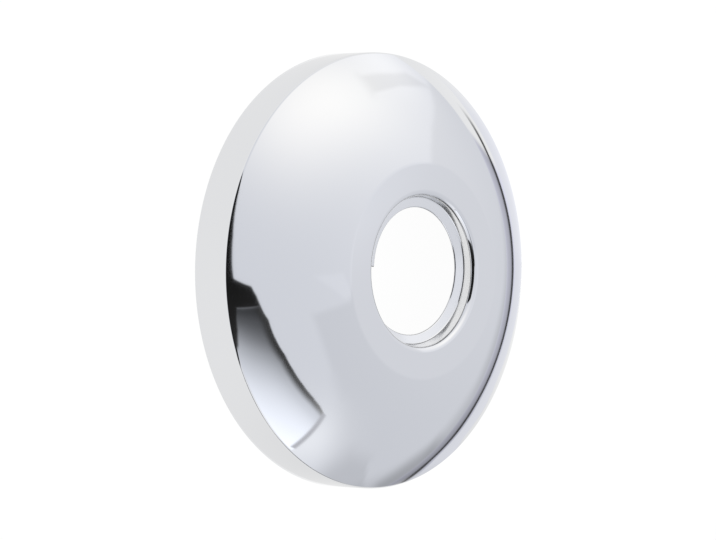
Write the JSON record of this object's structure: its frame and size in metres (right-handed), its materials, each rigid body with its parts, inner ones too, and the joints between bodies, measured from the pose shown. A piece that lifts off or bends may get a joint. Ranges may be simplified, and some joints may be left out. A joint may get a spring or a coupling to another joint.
{
  "type": "threaded escutcheon",
  "caption": "Round domed chrome wall plate with a short side wall, a flat ring and a threaded collar for a pipe.",
  "frame": {"origin": "centre of the back rim's plane, on the axis of the hole", "axes": "+Z along the axis of the hole, out of the domed front; the thread starts and ends on the -X side"},
  "size_m": [0.0636, 0.0636, 0.0143],
  "materials": {
    "chrome": "bright chrome plate on pressed sheet"
  },
  "bodies": {
    "root": {"escutcheon": "chrome"}
  },
  "joints": []
}
